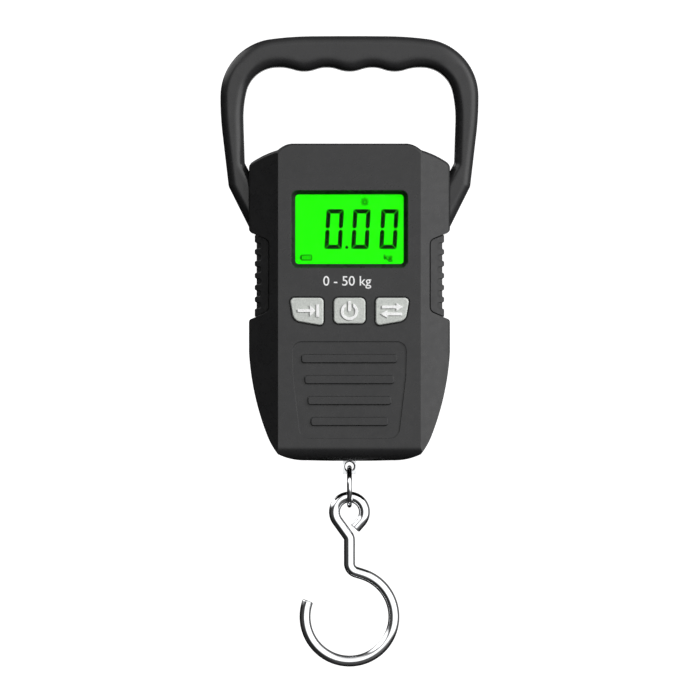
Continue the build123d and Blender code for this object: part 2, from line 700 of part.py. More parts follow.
tab_gap = block((-TAB_WIDTH / 2, TAB_WIDTH / 2), (-TAB_THICKNESS / 2, TAB_THICKNESS / 2), (-140, -127.5))
with BuildPart() as load_cell:
    with Locations((0, 0, (LOAD_TOP + LOAD_BOTTOM) / 2)):
        Box(2 * LOAD_HALF_WIDTH, 2 * LOAD_HALF_DEPTH, LOAD_TOP - LOAD_BOTTOM)
    fillet(load_cell.edges().filter_by(Axis.Y), radius=1.0)
    # two slots from opposite sides leave an S, and a dumbbell hole makes the thin beams
    with BuildSketch(Plane.XZ):
        for way, z in zip((1, -1), SLOT_Z):
            with Locations((way * 4.5, z)):
                SlotOverall(26.0, 2.0)
        for x in (-5.0, 5.0):
            with Locations((x, -116.5)):
                Circle(5.6)
        with Locations((0, -116.5)):
            Rectangle(8.0, 3.0)
    extrude(amount=10, both=True, mode=Mode.SUBTRACT)
    add(tab_gap, mode=Mode.SUBTRACT)
    add(columns([(0, PIN_Z)], 1.5, -10, 10), mode=Mode.SUBTRACT)
    add(columns(CELL_SCREWS, SCREW_CLEAR, -10, 10), mode=Mode.SUBTRACT)
save(load_cell.part, "load_cell")

with BuildPart() as strain_gauges:
    for x in (-5.0, 5.0):
        for z in (SLOT_Z[0] - 0.92, SLOT_Z[1] + 0.92):
            with Locations((x, 0, z)):
                Box(4.0, 5.0, 0.16)
save(strain_gauges.part, "strain_gauges")

with BuildPart() as pull_tab:
    with BuildSketch(front_plane(-TAB_THICKNESS / 2)):
        with Locations((0, (TAB_BOTTOM - 127.5) / 2)):
            RectangleRounded(TAB_WIDTH, -127.5 - TAB_BOTTOM, 0.3)
        with Locations((0, TAB_HOLE_Z)):
            Circle(TAB_HOLE_RADIUS, mode=Mode.SUBTRACT)
        with Locations((0, PIN_Z)):
            Circle(1.5, mode=Mode.SUBTRACT)
    extrude(amount=-TAB_THICKNESS)
    rims = pull_tab.edges().filter_by(GeomType.CIRCLE).filter_by(
        lambda e: abs(e.radius - TAB_HOLE_RADIUS) < 0.01 and e.center().Z < -141
    )
    fillet(rims, radius=0.7)
save(pull_tab.part, "pull_tab")
save(columns([(0, PIN_Z)], 1.5, -LOAD_HALF_DEPTH, LOAD_HALF_DEPTH), "pull_tab_pin")


# ---- screws -------------------------------------------------------------------------------------
def cross_screws(points, shank, seat_y, tip_y, head_radius, head_height):
    """Pan head screws along Y. The head stands on seat_y, away from the tip."""
    way = 1 if seat_y > tip_y else -1
    crown_y = seat_y + way * head_height
    with BuildPart() as made:
        add(columns(points, shank, seat_y, tip_y))
        add(columns(points, head_radius, crown_y, seat_y))
        crown = made.faces().group_by(Axis.Y)[-1 if way > 0 else 0].edges()
        fillet(crown, radius=head_height * 0.4)
        for wide, tall in ((0.5 * head_radius, 0.16), (0.16, 0.5 * head_radius)):
            with Locations(*[(x, crown_y, z) for x, z in points]):
                Box(2 * wide, head_height, 2 * tall, mode=Mode.SUBTRACT)
    return made.part


save(cross_screws(UPPER_SCREWS + LOWER_SCREWS, SCREW_PILOT, SCREW_SEAT_Y, -8.0, 2.4, 1.8), "cover_screws")
save(cross_screws(BOARD_SCREWS, 0.8, BOARD_REAR_Y, BOARD_FRONT_Y - 3.5, 1.7, 1.2), "board_screws")
save(cross_screws(CELL_SCREWS, SCREW_PILOT, -LOAD_HALF_DEPTH, 9.0, 2.5, 1.9), "load_cell_screws")

# ---- batteries and contacts ---------------------------------------------------------------------
CELL_CENTRES = {"upper": BATTERY_Z + CELL_PITCH / 2, "lower": BATTERY_Z - CELL_PITCH / 2}
CONTACT = 0.4
SPRING_SPACE = 3.4
spring_side = {"upper": -1, "lower": 1}


def cell_span(way):
    """X of the flat end and of the button tip: the flat end faces the spring."""
    flat = way * (BAY_HALF_LENGTH - CONTACT - SPRING_SPACE)
    tip = flat - way * CELL_LENGTH
    return flat, tip


for name, z in CELL_CENTRES.items():
    way = spring_side[name]
    flat, tip = cell_span(way)
    with BuildPart() as cell:
        with BuildSketch(Plane.YZ.offset(flat)):
            with Locations((CELL_Y, z)):
                Circle(CELL_RADIUS - 0.05)
        extrude(amount=-way * (CELL_LENGTH - 1.0))
        fillet(cell.edges().filter_by(GeomType.CIRCLE), radius=0.5)
        with BuildSketch(Plane.YZ.offset(tip)):
            with Locations((CELL_Y, z)):
                Circle(1.9)
        extrude(amount=way * 1.0)
    save(cell.part, f"{name}_aaa_cell")


def contact_plate(way, z_range):
    x_out = way * BAY_HALF_LENGTH
    return block((x_out, x_out - way * CONTACT), (BAY_FLOOR_Y + 0.3, 9.6), z_range)


def coil_spring(way, z):
    """Coil between its plate and the flat end of a cell."""
    wire = 0.5
    start_x = way * (BAY_HALF_LENGTH - CONTACT)
    height = SPRING_SPACE - wire
    with BuildPart() as made:
        with BuildLine():
            coil = Helix(pitch=height / 3, height=height, radius=2.6)
        with BuildSketch(Plane(origin=coil @ 0, z_dir=coil % 0)):
            Circle(wire / 2)
        sweep(is_frenet=True)
    turned = made.part.rotate(Axis.Y, -90 * way)
    return turned.moved(Location((start_x - way * wire / 2, CELL_Y, z)))


upper_z = CELL_CENTRES["upper"]
lower_z = CELL_CENTRES["lower"]
save(contact_plate(-1, (upper_z - 4.6, upper_z + 4.6)), "negative_contact_plate")
save(coil_spring(-1, upper_z), "negative_contact_spring")
with BuildPart() as positive_contact:
    add(contact_plate(-1, (lower_z - 4.6, lower_z + 4.6)))
save(positive_contact.part, "positive_contact")
save(contact_plate(1, (lower_z - 4.6, upper_z + 4.6)), "bridge_contact_plate")
save(coil_spring(1, lower_z), "bridge_contact_spring")

# ---- inner wires --------------------------------------------------------------------------------
WIRE_RADIUS = 0.4


def inner_wire(points, bend):
    with BuildPart() as made:
        with BuildLine():
            route = FilletPolyline(*points, radius=bend)
        with BuildSketch(Plane(origin=route @ 0, z_dir=route % 0)):
            Circle(WIRE_RADIUS)
        sweep()
    return made.part


gauge_wires = [
    inner_wire([(x, -4.45, -115.0), (x, -4.45, -98.8), (x, -4.15, -97.2), (x, -4.15, -92.0)], 2.0)
    for x in (-2.4, -0.8, 0.8, 2.4)
]
save(Compound(gauge_wires), "load_cell_wires")
battery_wires = [
    inner_wire([(x, -1.75, z), (x + 1.0, -2.9, z - 8.0), (x + 4.0, -3.6, -76.0), (x + 5.0, -3.9, -82.0)], 4.0)
    for x, z in ((-22.6, -46.0), (-20.6, -58.0))
]
save(Compound(battery_wires), "battery_wires")

# ---- ring and hook ------------------------------------------------------------------------------
with BuildPart() as hanging_ring:
    with Locations((0, 0, RING_Z)):
        Torus(RING_RADIUS, RING_WIRE / 2, rotation=(0, 90, 0))
save(hanging_ring.part, "hanging_ring")


def polar(radius, degrees, centre_z):
    """Point on a circle in the XZ sketch plane, degrees from +X towards +Z."""
    angle = math.radians(degrees)
    return (radius * math.cos(angle), centre_z + radius * math.sin(angle))


SHANK_BEND = 3.2
LEG_DEGREES = 215.8
END_DEGREES = -41.2
JOIN_DEGREES = 72.6
TIP_DEGREES = 158.9
with BuildPart() as hook:
    with BuildLine(Plane.XZ) as wire:
        end_point = polar(EYE_RADIUS, END_DEGREES, EYE_Z)
        end_angle = math.radians(END_DEGREES - 90)
        free_end = (end_point[0] + 3.2 * math.cos(end_angle), end_point[1] + 3.2 * math.sin(end_angle))
        Line(free_end, end_point)
        leg_point = polar(EYE_RADIUS, LEG_DEGREES, EYE_Z)
        ThreePointArc(end_point, polar(EYE_RADIUS, 90, EYE_Z), leg_point)
        leg_angle = math.radians(LEG_DEGREES + 90)
        neck_z = leg_point[1] + math.tan(leg_angle) * -leg_point[0]
        join = polar(HOOK_RADIUS, JOIN_DEGREES, HOOK_Z)
        join_angle = math.radians(JOIN_DEGREES - 90)
        bend_z = join[1] - math.tan(join_angle) * join[0]
        FilletPolyline(leg_point, (0, neck_z), (0, bend_z), join, radius=[2.6, SHANK_BEND])
        ThreePointArc(join, polar(HOOK_RADIUS, -60, HOOK_Z), polar(HOOK_RADIUS, TIP_DEGREES - 360, HOOK_Z))
    start = wire.wire()
    with BuildSketch(Plane(origin=start @ 0, z_dir=start % 0)):
        Circle(HOOK_WIRE / 2)
    sweep(path=start)
    ends = hook.edges().filter_by(GeomType.CIRCLE).filter_by(
        lambda e: abs(e.radius - HOOK_WIRE / 2) < 0.01
        and min((e.arc_center - start @ 0).length, (e.arc_center - start @ 1).length) < 0.1
    )
    fillet(ends, radius=0.5)
save(hook.part, "hook")
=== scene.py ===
import math

import bmesh
import bpy
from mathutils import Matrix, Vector


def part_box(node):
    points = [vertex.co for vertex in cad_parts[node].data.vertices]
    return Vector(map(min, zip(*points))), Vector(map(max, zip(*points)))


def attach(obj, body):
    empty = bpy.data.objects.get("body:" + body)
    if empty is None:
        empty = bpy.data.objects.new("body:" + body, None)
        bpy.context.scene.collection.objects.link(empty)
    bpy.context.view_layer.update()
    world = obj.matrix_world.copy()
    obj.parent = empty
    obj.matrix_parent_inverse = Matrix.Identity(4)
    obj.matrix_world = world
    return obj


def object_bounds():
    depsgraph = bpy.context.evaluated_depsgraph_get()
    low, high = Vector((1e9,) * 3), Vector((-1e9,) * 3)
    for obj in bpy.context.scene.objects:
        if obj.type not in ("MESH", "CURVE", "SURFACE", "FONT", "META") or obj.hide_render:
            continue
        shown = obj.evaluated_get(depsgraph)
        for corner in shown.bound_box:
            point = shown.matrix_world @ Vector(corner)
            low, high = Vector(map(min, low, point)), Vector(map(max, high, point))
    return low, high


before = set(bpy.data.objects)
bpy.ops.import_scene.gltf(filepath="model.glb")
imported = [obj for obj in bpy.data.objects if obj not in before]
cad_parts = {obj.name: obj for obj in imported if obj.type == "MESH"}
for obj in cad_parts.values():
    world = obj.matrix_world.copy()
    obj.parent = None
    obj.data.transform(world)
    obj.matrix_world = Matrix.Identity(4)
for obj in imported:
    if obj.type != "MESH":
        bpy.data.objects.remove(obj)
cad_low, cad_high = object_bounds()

# Looks for a digital hanging scale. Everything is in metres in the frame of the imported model:
# +X to the reader's right, +Z up, and the front of the scale faces -Y. The origin lies at the
# underside of the middle bump of the handle.
MM = 0.001
EVEN = (1.0, 1.0, 1.0)
WHITE = (1.0, 1.0, 1.0, 1.0)


def grey(level):
    return (level, level, level)


# ---- node helpers -------------------------------------------------------------------------------
# the stretch of a noise over which a finish goes from one end to the other
NARROW_SPAN = (0.35, 0.65)
WIDE_SPAN = (0.3, 0.7)


def remap(tree, value, start=0.0, end=1.0, low=0.0, high=1.0):
    """A value rescaled from start..end to low..high, and held at both ends."""
    made = tree.nodes.new("ShaderNodeMapRange")
    made.inputs["From Min"].default_value = start
    made.inputs["From Max"].default_value = end
    made.inputs["To Min"].default_value = low
    made.inputs["To Max"].default_value = high
    tree.links.new(value, made.inputs["Value"])
    return made.outputs["Result"]


def ramp(tree, value, stops, interpolation="LINEAR"):
    """Colours along a value. `stops` are (position, (r, g, b))."""
    made = tree.nodes.new("ShaderNodeValToRGB")
    made.color_ramp.interpolation = interpolation
    elements = made.color_ramp.elements
    while len(elements) < len(stops):
        elements.new(1.0)
    for element, (position, colour) in zip(elements, stops):
        element.position = position
        element.color = (*colour, 1.0)
    tree.links.new(value, made.inputs["Fac"])
    return made.outputs["Color"]


def two_tones(tree, value, dark, light, span=NARROW_SPAN):
    """From a dark to a light tone over a span of the value."""
    return ramp(tree, value, list(zip(span, (dark, light))))


def mix_colours(tree, share, first, second):
    """A mix of two colours, from the first at 0 to the second at 1."""
    made = tree.nodes.new("ShaderNodeMix")
    made.data_type = "RGBA"
    factor = next(socket for socket in made.inputs if socket.name == "Factor" and socket.type == "VALUE")
    start, end = [socket for socket in made.inputs if socket.type == "RGBA"]
    result = next(socket for socket in made.outputs if socket.type == "RGBA")
    tree.links.new(share, factor)
    tree.links.new(first, start)
    tree.links.new(second, end)
    return result


def combine(tree, operation, first, second):
    """Two colours or vectors added or multiplied."""
    made = tree.nodes.new("ShaderNodeVectorMath")
    made.operation = operation
    tree.links.new(first, made.inputs[0])
    tree.links.new(second, made.inputs[1])
    return made.outputs["Vector"]


def parts_of_place(tree, coordinates):
    """The X, Y and Z parts of one kind of texture coordinates."""
    where = tree.nodes.new("ShaderNodeTexCoord")
    split = tree.nodes.new("ShaderNodeSeparateXYZ")
    tree.links.new(where.outputs[coordinates], split.inputs["Vector"])
    return split.outputs


# ---- material helpers ---------------------------------------------------------------------------
EDGE_SAMPLES = 6


def new_material(name, base, roughness, metallic=0.0, specular=0.5):
    """A Principled material. Values that are the same all over are set on the shader's sockets."""
    material = bpy.data.materials.new(name)
    material.use_nodes = True
    sockets = shader_of(material).inputs
    sockets["Base Color"].default_value = (*base, 1.0)
    sockets["Roughness"].default_value = roughness
    sockets["Metallic"].default_value = metallic
    sockets["Specular IOR Level"].default_value = specular
    return material


def shader_of(material):
    return material.node_tree.nodes["Principled BSDF"]


def drive(material, socket, value):
    """Lets a node's output set one socket of the material's shader."""
    material.node_tree.links.new(value, shader_of(material).inputs[socket])


def texture(material, kind, size, stretch=EVEN):
    """A texture node laid out in metres, with features about `size` metres wide."""
    tree = material.node_tree
    where = tree.nodes.new("ShaderNodeTexCoord")
    mapping = tree.nodes.new("ShaderNodeMapping")
    made = tree.nodes.new(kind)
    mapping.inputs["Scale"].default_value = stretch
    made.inputs["Scale"].default_value = 1.0 / size
    tree.links.new(where.outputs["Object"], mapping.inputs["Vector"])
    tree.links.new(mapping.outputs["Vector"], made.inputs["Vector"])
    return made


def noise(material, size, detail=3.0, stretch=EVEN):
    """Soft noise from 0 to 1."""
    made = texture(material, "ShaderNodeTexNoise", size, stretch)
    made.inputs["Detail"].default_value = detail
    return made.outputs["Fac"]


def vary_colour(material, dark, light, size, detail=3.0, stretch=EVEN):
    """Lets the base colour drift between two tones over patches of a size in metres."""
    patches = noise(material, size, detail, stretch)
    drive(material, "Base Color", two_tones(material.node_tree, patches, dark, light))


def vary_roughness(material, low, high, size, detail=4.0, stretch=EVEN):
    """Lets the roughness drift between two levels over patches of a size in metres."""
    patches = noise(material, size, detail, stretch)
    drive(material, "Roughness", remap(material.node_tree, patches, *WIDE_SPAN, low, high))


def grain(material, size, depth, edge=0.0, detail=2.0, stretch=EVEN):
    """Surface relief `depth` metres deep, on edges softened by a radius in metres."""
    tree = material.node_tree
    relief = noise(material, size, detail, stretch)
    bump = tree.nodes.new("ShaderNodeBump")
    bump.inputs["Distance"].default_value = depth
    tree.links.new(relief, bump.inputs["Height"])
    if edge:
        bevel = tree.nodes.new("ShaderNodeBevel")
        bevel.samples = EDGE_SAMPLES
        bevel.inputs["Radius"].default_value = edge
        tree.links.new(bevel.outputs["Normal"], bump.inputs["Normal"])
    drive(material, "Normal", bump.outputs["Normal"])


def along_axis(material, axis, start, end):
    """A value from 0 to 1 along one axis, between two places in metres."""
    tree = material.node_tree
    return remap(tree, parts_of_place(tree, "Object")[axis], start, end)


def within(material, axis, low, high):
    """A value that is 1 between two places along one axis, in metres, and 0 elsewhere."""
    tree = material.node_tree
    near = tree.nodes.new("ShaderNodeMath")
    near.operation = "COMPARE"
    near.inputs[1].default_value = (low + high) / 2
    near.inputs[2].default_value = (high - low) / 2
    tree.links.new(parts_of_place(tree, "Object")[axis], near.inputs[0])
    return near.outputs["Value"]


# ---- materials of the outside -------------------------------------------------------------------
PLASTIC_SPECULAR = 0.38
PLASTIC_EDGE = 0.25 * MM
TONE_SPREAD = 0.12
BLUE_CAST = 0.04


def bluish(tone, share=1.0):
    """A grey of a share of the tone, with a trace more blue."""
    return (tone * share, tone * share, tone * (share + BLUE_CAST))


def moulded_black(name, tone, smooth, rough, grain_size, grain_depth):
    """Satin moulded plastic with a fine spark-eroded texture."""
    material = new_material(name, bluish(tone), smooth, specular=PLASTIC_SPECULAR)
    vary_colour(material, bluish(tone, 1 - TONE_SPREAD), bluish(tone, 1 + TONE_SPREAD), 9 * MM)
    vary_roughness(material, smooth, rough, 2.2 * MM)
    grain(material, grain_size, grain_depth, edge=PLASTIC_EDGE)
    return material


# the well reaches this far round the window, and starts this far behind the raised bars
WELL_MARGIN = 1.8 * MM
WELL_LIP = 0.7 * MM
WELL_SPECULAR = 0.08


def matt_display_well(material):
    """Takes the gloss off the walls of the well around the display, so they don't mirror its light."""
    tree = material.node_tree
    low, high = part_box("display_window")
    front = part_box("front_cover")[0].y
    inside = within(material, "X", low.x - WELL_MARGIN, high.x + WELL_MARGIN)
    for axis, start, end in (
        ("Y", front + WELL_LIP, high.y),
        ("Z", low.z - WELL_MARGIN, high.z + WELL_MARGIN),
    ):
        both = tree.nodes.new("ShaderNodeMath")
        both.operation = "MULTIPLY"
        tree.links.new(inside, both.inputs[0])
        tree.links.new(within(material, axis, start, end), both.inputs[1])
        inside = both.outputs["Value"]
    level = remap(tree, inside, low=PLASTIC_SPECULAR, high=WELL_SPECULAR)
    drive(material, "Specular IOR Level", level)


def housing_plastic():
    """The plastic of the covers, dull in the well of the display."""
    material = moulded_black(
        "housing_plastic", 0.012, smooth=0.25, rough=0.33, grain_size=0.32 * MM, grain_depth=0.006 * MM
    )
    matt_display_well(material)
    return material


# The underside of the handle's bar is shaded as a wide soft rounding: its radius at places along
# a span of heights, which are counted from the underside of the middle bump.
BAR_ROUNDING_SPAN = (-8 * MM, 10 * MM)
BAR_ROUNDING = [(0.5, PLASTIC_EDGE), (0.62, 4.0 * MM), (0.76, 4.0 * MM), (0.93, PLASTIC_EDGE)]
BAR_ROUNDING_SAMPLES = 12


def handle_plastic():
    """The covers' plastic, smoother from the hand, with the wide rounding under the bar."""
    material = moulded_black(
        "handle_plastic", 0.014, smooth=0.22, rough=0.30, grain_size=0.38 * MM, grain_depth=0.005 * MM
    )
    tree = material.node_tree
    height = along_axis(material, "Z", *BAR_ROUNDING_SPAN)
    radius = ramp(tree, height, [(place, grey(size)) for place, size in BAR_ROUNDING])
    bevel = next(node for node in tree.nodes if node.type == "BEVEL")
    bevel.samples = BAR_ROUNDING_SAMPLES
    tree.links.new(radius, bevel.inputs["Radius"])
    return material


def grip_rubber():
    """Softer and duller than the covers, with a fine pebbled skin."""
    material = new_material("grip_rubber", (0.014, 0.014, 0.0145), 0.36, specular=PLASTIC_SPECULAR)
    vary_colour(material, (0.012, 0.012, 0.0125), (0.016, 0.016, 0.0165), 5 * MM)
    vary_roughness(material, 0.32, 0.42, 1.4 * MM)
    grain(material, 0.45 * MM, 0.012 * MM, edge=PLASTIC_EDGE)
    return material


KEY_PAINT_DEPTH = 1.2 * MM
# shares of the paint's depth: where the raised signs, with their painted highlight, end, and where the
# paint fades to bare rubber
SIGN_HIGHLIGHT_SHARE = 0.14
# the bare rubber behind the caps also paints shade into the gaps around them
SKIRT_AND_GAP_SHADE_SPAN = (0.7, 0.96)


def button_silver():
    """Silver paint with metal flake on the caps of the keys, with a painted highlight, a lighter tone, on
    the tops of the raised signs.

    The skirts behind the caps are bare black rubber, whose dark tone also paints shade into the gaps
    around the caps.
    """
    material = new_material("button_silver", (0.55, 0.56, 0.54), 0.42, metallic=0.15)
    tree = material.node_tree
    flake = noise(material, 0.6 * MM, detail=5.0)
    paint = two_tones(tree, flake, (0.45, 0.47, 0.445), (0.57, 0.59, 0.56))
    # painted highlight: the tops of the raised signs get a lighter tone than the silver paint
    sign_highlight = two_tones(tree, flake, (0.80, 0.80, 0.79), grey(0.9))
    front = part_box("tare_button")[0].y
    depth = along_axis(material, "Y", front, front + KEY_PAINT_DEPTH)
    cap = ramp(tree, depth, [(0.0, grey(0.0)), (SIGN_HIGHLIGHT_SHARE, grey(1.0))], "CONSTANT")
    # painted shade: the bare black rubber behind the caps also darkens the gaps around them
    skirt_and_gap_shade = two_tones(tree, depth, grey(0.0), grey(1.0), SKIRT_AND_GAP_SHADE_SPAN)
    painted = mix_colours(tree, cap, sign_highlight, paint)
    rubber = two_tones(tree, noise(material, 1.2 * MM), grey(0.006), grey(0.010), WIDE_SPAN)
    drive(material, "Base Color", mix_colours(tree, skirt_and_gap_shade, painted, rubber))
    vary_roughness(material, 0.36, 0.5, 1.1 * MM)
    grain(material, 0.3 * MM, 0.006 * MM, edge=0.06 * MM)
    return material


def bright_steel():
    """Polished plated wire with faint drawing marks."""
    material = new_material("bright_steel", (0.8, 0.81, 0.82), 0.09, metallic=1.0)
    vary_colour(material, (0.76, 0.77, 0.785), (0.84, 0.845, 0.855), 4 * MM)
    vary_roughness(material, 0.06, 0.14, 1.6 * MM, detail=6.0)
    grain(material, 0.9 * MM, 0.004 * MM, edge=0.12 * MM)
    return material


def tab_steel():
    """Cut plate, brushed along its length."""
    brushed = (1.0, 1.0, 0.06)
    material = new_material("tab_steel", (0.62, 0.63, 0.64), 0.26, metallic=1.0)
    vary_colour(material, (0.58, 0.59, 0.6), (0.66, 0.67, 0.68), 0.5 * MM, stretch=brushed)
    vary_roughness(material, 0.2, 0.34, 0.3 * MM, stretch=brushed)
    grain(material, 0.16 * MM, 0.004 * MM, edge=0.15 * MM, stretch=brushed)
    return material


def screw_steel():
    """Plated screws, slightly dull from the driver."""
    material = new_material("screw_steel", (0.6, 0.6, 0.61), 0.3, metallic=1.0)
    vary_colour(material, (0.5, 0.5, 0.52), grey(0.66), 0.8 * MM)
    vary_roughness(material, 0.24, 0.4, 0.4 * MM)
    grain(material, 0.2 * MM, 0.006 * MM, edge=0.1 * MM)
    return material


def print_white():
    """Pad-printed ink: slightly uneven and matt."""
    material = new_material("print_white", grey(0.86), 0.6, specular=0.3)
    vary_colour(material, grey(0.8), grey(0.9), 0.6 * MM)
    vary_roughness(material, 0.5, 0.7, 0.4 * MM)
    grain(material, 0.12 * MM, 0.006 * MM)
    return material


# ---- materials of the display -------------------------------------------------------------------
COATED_ACRYLIC_IOR = 1.1
LCD_GLOW = 0.86
INK_TONE = (0.0003, 0.006, 0.0003)
INK_GLOW = 0.6


def window_clear():
    """Thin clear acrylic with an anti-reflection hard coat."""
    material = new_material("window_clear", (0.97, 1.0, 0.97), 0.03)
    sockets = shader_of(material).inputs
    sockets["Transmission Weight"].default_value = 1.0
    sockets["IOR"].default_value = COATED_ACRYLIC_IOR
    vary_roughness(material, 0.02, 0.05, 3 * MM)
    grain(material, 2.5 * MM, 0.0015 * MM)
    return material


def glowing(material, colour, strength):
    """Lets the material give off light of its own."""
    drive(material, "Emission Color", colour)
    shader_of(material).inputs["Emission Strength"].default_value = strength


def lcd_green():
    """Lit display glass: even green light with the faint dimple pattern of the light guide."""
    material = new_material("lcd", (0.002, 0.2, 0.0005), 0.35, specular=0.0)
    dimples = texture(material, "ShaderNodeTexVoronoi", 0.55 * MM).outputs["Distance"]
    stops = [(0.0, (0.013, 0.96, 0.001)), (0.6, (0.014, 1.0, 0.0))]
    glowing(material, ramp(material.node_tree, dimples, stops), LCD_GLOW)
    vary_roughness(material, 0.3, 0.4, 2 * MM)
    grain(material, 0.6 * MM, 0.002 * MM)
    return material


def lcd_ink():
    """A dark liquid-crystal segment: not quite even, so the green shows faintly."""
    red, green, blue = INK_TONE
    material = new_material("lcd_dark_ink", INK_TONE, 0.4, specular=0.0)
    vary_colour(material, INK_TONE, (red * 1.4, green * 1.4, blue * 1.4), 0.8 * MM)
    vary_roughness(material, 0.35, 0.45, 0.6 * MM)
    patches = noise(material, 0.9 * MM)
    glow = two_tones(material.node_tree, patches, INK_TONE, (red * 1.3, green * 1.3, blue), WIDE_SPAN)
    glowing(material, glow, INK_GLOW)
    return material


# ---- materials of the inside --------------------------------------------------------------------
INNER_EDGE = 0.1 * MM
# sizes of the patches of colour and of roughness, in sizes of the grain
COLOUR_PATCH = 4
ROUGHNESS_PATCH = 2
# for each slot: dark tone, light tone, roughness from and to, size and depth of the grain, metallic
INNER_FINISHES = {
    "backlight_diffuser": ((0.7, 0.78, 0.7), (0.8, 0.86, 0.8), 0.4, 0.5, 1.0 * MM, 0.01 * MM, 0.0),
    "frame_white": ((0.7, 0.7, 0.68), (0.78, 0.78, 0.76), 0.4, 0.5, 0.6 * MM, 0.01 * MM, 0.0),
    "strip_rubber": ((0.22, 0.2, 0.21), (0.32, 0.28, 0.29), 0.6, 0.7, 0.3 * MM, 0.03 * MM, 0.0),
    "chip_resin": (grey(0.008), grey(0.014), 0.12, 0.25, 1.5 * MM, 0.05 * MM, 0.0),
    "small_parts": ((0.2, 0.16, 0.11), (0.32, 0.26, 0.19), 0.35, 0.5, 0.4 * MM, 0.01 * MM, 0.0),
    "switch_body": (grey(0.02), grey(0.03), 0.4, 0.5, 0.4 * MM, 0.01 * MM, 0.0),
    "plunger_plastic": ((0.45, 0.06, 0.045), (0.55, 0.09, 0.06), 0.35, 0.45, 0.4 * MM, 0.01 * MM, 0.0),
    "load_cell_metal": ((0.72, 0.73, 0.75), (0.8, 0.81, 0.83), 0.25, 0.4, 0.3 * MM, 0.01 * MM, 1.0),
    "gauge_foil": ((0.6, 0.36, 0.12), (0.75, 0.5, 0.2), 0.3, 0.45, 0.2 * MM, 0.005 * MM, 0.0),
    "contact_metal": ((0.62, 0.62, 0.59), (0.72, 0.72, 0.7), 0.2, 0.35, 0.3 * MM, 0.005 * MM, 1.0),
}


def inner_material(slot_name):
    """The finish of one slot of the parts inside."""
    dark, light, smooth, rough, size, depth, metallic = INNER_FINISHES[slot_name]
    material = new_material(slot_name, dark, smooth, metallic=metallic)
    vary_colour(material, dark, light, size * COLOUR_PATCH)
    vary_roughness(material, smooth, rough, size * ROUGHNESS_PATCH)
    grain(material, size, depth, edge=INNER_EDGE)
    return material


def circuit_board():
    """Green solder mask over copper runs."""
    material = new_material("board", (0.01, 0.12, 0.05), 0.3)
    runs = texture(material, "ShaderNodeTexBrick", 1.0 * MM, stretch=(1.0, 1.0, 0.5)).outputs["Fac"]
    stops = [(0.2, (0.008, 0.11, 0.045)), (0.6, (0.03, 0.2, 0.08))]
    drive(material, "Base Color", ramp(material.node_tree, runs, stops))
    vary_roughness(material, 0.24, 0.36, 1.5 * MM)
    grain(material, 0.8 * MM, 0.01 * MM, edge=INNER_EDGE)
    return material


def cell_sleeve(name, node, reverse):
    """Printed film over a battery can: bare metal ends, a pale band and a green body."""
    low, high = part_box(node)
    ends = (high.x, low.x) if reverse else (low.x, high.x)
    metal, green, band = (0.7, 0.7, 0.69), (0.03, 0.16, 0.08), (0.72, 0.74, 0.7)
    stops = [(0.0, metal), (0.03, green), (0.66, band), (0.7, green), (0.74, band), (0.94, metal)]
    material = new_material(name, (0.1, 0.28, 0.16), 0.25, metallic=0.7)
    place = along_axis(material, "X", *ends)
    drive(material, "Base Color", ramp(material.node_tree, place, stops, "CONSTANT"))
    vary_roughness(material, 0.18, 0.32, 3 * MM)
    grain(material, 1.2 * MM, 0.01 * MM, edge=INNER_EDGE)
    return material


def wire_insulation():
    """Two battery leads and four load cell leads, whose colours change between their places in X."""
    red, black, green, white = (0.42, 0.02, 0.015), grey(0.012), (0.02, 0.2, 0.05), (0.7, 0.7, 0.68)
    stops = [(0.0, red), (0.2, black), (0.6, red), (0.82, black), (0.89, green), (0.95, white)]
    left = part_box("battery_wires")[0].x - 1.0 * MM
    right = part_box("load_cell_wires")[1].x + 0.2 * MM
    material = new_material("wire_insulation", (0.4, 0.03, 0.02), 0.45)
    place = along_axis(material, "X", left, right)
    drive(material, "Base Color", ramp(material.node_tree, place, stops, "CONSTANT"))
    vary_roughness(material, 0.4, 0.55, 0.8 * MM)
    grain(material, 0.5 * MM, 0.01 * MM)
    return material


def all_materials():
    """One material for each slot of the record."""
    made = {
        "housing_plastic": housing_plastic(),
        "handle_plastic": handle_plastic(),
        "grip_rubber": grip_rubber(),
        "button_silver": button_silver(),
        "bright_steel": bright_steel(),
        "tab_steel": tab_steel(),
        "screw_steel": screw_steel(),
        "window_clear": window_clear(),
        "lcd": lcd_green(),
        "board": circuit_board(),
        "wire_insulation": wire_insulation(),
    }
    for slot_name in INNER_FINISHES:
        made[slot_name] = inner_material(slot_name)
    return made


def dress_cad_nodes(made):
    """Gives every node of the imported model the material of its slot, and each cell its own sleeve."""
    sleeves = {
        "upper_aaa_cell": cell_sleeve("upper_cell_sleeve", "upper_aaa_cell", reverse=False),
        "lower_aaa_cell": cell_sleeve("lower_cell_sleeve", "lower_aaa_cell", reverse=True),
    }
    for name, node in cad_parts.items():
        for index, old in enumerate(node.data.materials):
            node.data.materials[index] = sleeves.get(name) or made[old.name.split(".")[0]]


# ---- mesh helpers -------------------------------------------------------------------------------
LONGEST_CORNER_SHARE = 0.45
CAPITALS_PER_FONT_SIZE = 0.73


def add_prism(mesh, outline, y_back, y_front):
    """A closed prism between two depths, from (x, z) points that run anticlockwise from the front."""
    back = [mesh.verts.new((x, y_back, z)) for x, z in outline]
    front = [mesh.verts.new((x, y_front, z)) for x, z in outline]
    mesh.faces.new(front)
    mesh.faces.new(list(reversed(back)))
    count = len(outline)
    for i in range(count):
        j = (i + 1) % count
        mesh.faces.new((front[i], back[i], back[j], front[j]))


